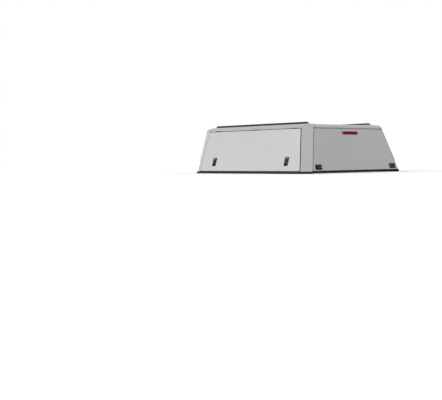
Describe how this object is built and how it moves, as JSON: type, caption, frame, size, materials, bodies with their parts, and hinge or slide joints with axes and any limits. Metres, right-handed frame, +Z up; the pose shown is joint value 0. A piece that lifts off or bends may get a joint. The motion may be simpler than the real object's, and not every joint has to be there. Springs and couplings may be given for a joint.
{
  "type": "pickup truck canopy",
  "caption": "Steel canopy for a pickup truck bed: lift-up side doors, a lift-up rear door with brake light, and black roof rails.",
  "frame": {"origin": "middle of the footprint, on the surface that the base seal rests on", "axes": "+X vehicle right, +Y forward to the cab, +Z up"},
  "size_m": [1.7506, 1.9258, 0.6],
  "materials": {
    "painted_shell": "smooth light silver-grey gloss paint",
    "painted_inner": "light grey satin paint",
    "black_rail": "black powder coat, fine texture",
    "rubber_seal": "matt extruded rubber",
    "black_hinge": "black satin paint",
    "latch_plastic": "moulded black, fine grain",
    "paddle_plastic": "moulded black, satin",
    "lock_metal": "plated",
    "tinted_glass": "dark tinted safety glass",
    "red_lens": "clear red moulded lens"
  },
  "bodies": {
    "shell": {"roof_panel": "painted_shell", "rear_pillar_left": "painted_shell", "rear_pillar_right": "painted_shell", "front_post_left": "painted_shell", "front_post_right": "painted_shell", "front_wall": "painted_shell", "roof_bows": "painted_inner", "rear_header": "painted_inner", "rear_frame": "painted_inner", "cant_rail_left": "painted_inner", "cant_rail_right": "painted_inner", "side_frame_left": "painted_inner", "side_frame_right": "painted_inner", "base_rail_left": "black_rail", "base_rail_right": "black_rail", "base_rail_front": "black_rail", "roof_rail_left": "black_rail", "roof_rail_right": "black_rail", "rear_door_seal": "rubber_seal", "front_window_seal": "rubber_seal", "side_seal_left": "rubber_seal", "side_seal_right": "rubber_seal", "base_seal": "rubber_seal", "side_hinge_pins_left": "black_hinge", "side_hinge_pins_right": "black_hinge", "rear_hinge_pin": "black_hinge", "side_latch_strikers_left": "lock_metal", "side_latch_strikers_right": "lock_metal", "rear_latch_strikers": "lock_metal", "front_window_glass": "tinted_glass"},
    "side_door_left": {"side_door_left_skin": "painted_shell", "side_door_left_inner_panel": "painted_inner", "side_door_left_latch_bezels": "latch_plastic", "side_door_left_lock_barrels": "lock_metal", "side_door_left_latch_bodies": "black_hinge", "side_door_left_hinge_leaves": "black_hinge"},
    "side_door_right": {"side_door_right_skin": "painted_shell", "side_door_right_inner_panel": "painted_inner", "side_door_right_latch_bezels": "latch_plastic", "side_door_right_lock_barrels": "lock_metal", "side_door_right_latch_bodies": "black_hinge", "side_door_right_hinge_leaves": "black_hinge"},
    "rear_door": {"rear_door_skin": "painted_shell", "rear_door_inner_panel": "painted_inner", "rear_door_latch_bezels": "latch_plastic", "rear_door_lock_barrels": "lock_metal", "rear_door_latch_bodies": "black_hinge", "rear_door_hinge_leaf": "black_hinge", "brake_light_lens": "red_lens", "brake_light_base": "latch_plastic", "rear_door_lower_seal": "rubber_seal"},
    "left_rear_paddle": {"side_door_left_rear_paddle": "paddle_plastic"},
    "left_front_paddle": {"side_door_left_front_paddle": "paddle_plastic"},
    "right_rear_paddle": {"side_door_right_rear_paddle": "paddle_plastic"},
    "right_front_paddle": {"side_door_right_front_paddle": "paddle_plastic"},
    "tail_left_paddle": {"rear_door_left_paddle": "paddle_plastic"},
    "tail_right_paddle": {"rear_door_right_paddle": "paddle_plastic"}
  },
  "joints": [
    {"name": "left_door_lift", "type": "hinge", "parent": "shell", "child": "side_door_left", "pos_m": [-0.70798, -0.05508, 0.523], "axis": [0, 1, 0], "range_deg": [0, 85]},
    {"name": "right_door_lift", "type": "hinge", "parent": "shell", "child": "side_door_right", "pos_m": [0.70798, -0.05508, 0.523], "axis": [0, -1, 0], "range_deg": [0, 85]},
    {"name": "rear_door_lift", "type": "hinge", "parent": "shell", "child": "rear_door", "pos_m": [0, -0.82561, 0.523], "axis": [-1, 0, 0], "range_deg": [0, 80]},
    {"name": "left_rear_pull", "type": "hinge", "parent": "side_door_left", "child": "left_rear_paddle", "pos_m": [-0.82813, -0.60708, 0.15601], "axis": [0, 1, 0], "range_deg": [0, 35], "stiffness_Nm_per_rad": 0.2},
    {"name": "left_front_pull", "type": "hinge", "parent": "side_door_left", "child": "left_front_paddle", "pos_m": [-0.82813, 0.65792, 0.15601], "axis": [0, 1, 0], "range_deg": [0, 35], "stiffness_Nm_per_rad": 0.2},
    {"name": "right_rear_pull", "type": "hinge", "parent": "side_door_right", "child": "right_rear_paddle", "pos_m": [0.82813, -0.60708, 0.15601], "axis": [0, -1, 0], "range_deg": [0, 35], "stiffness_Nm_per_rad": 0.2},
    {"name": "right_front_pull", "type": "hinge", "parent": "side_door_right", "child": "right_front_paddle", "pos_m": [0.82813, 0.65792, 0.15601], "axis": [0, -1, 0], "range_deg": [0, 35], "stiffness_Nm_per_rad": 0.2},
    {"name": "tail_left_pull", "type": "hinge", "parent": "rear_door", "child": "tail_left_paddle", "pos_m": [-0.641, -0.94531, 0.07386], "axis": [0, 0.2554, 0.9668], "range_deg": [0, 35], "stiffness_Nm_per_rad": 0.2},
    {"name": "tail_right_pull", "type": "hinge", "parent": "rear_door", "child": "tail_right_paddle", "pos_m": [0.641, -0.94531, 0.07386], "axis": [0, -0.2554, -0.9668], "range_deg": [0, 35], "stiffness_Nm_per_rad": 0.2}
  ]
}
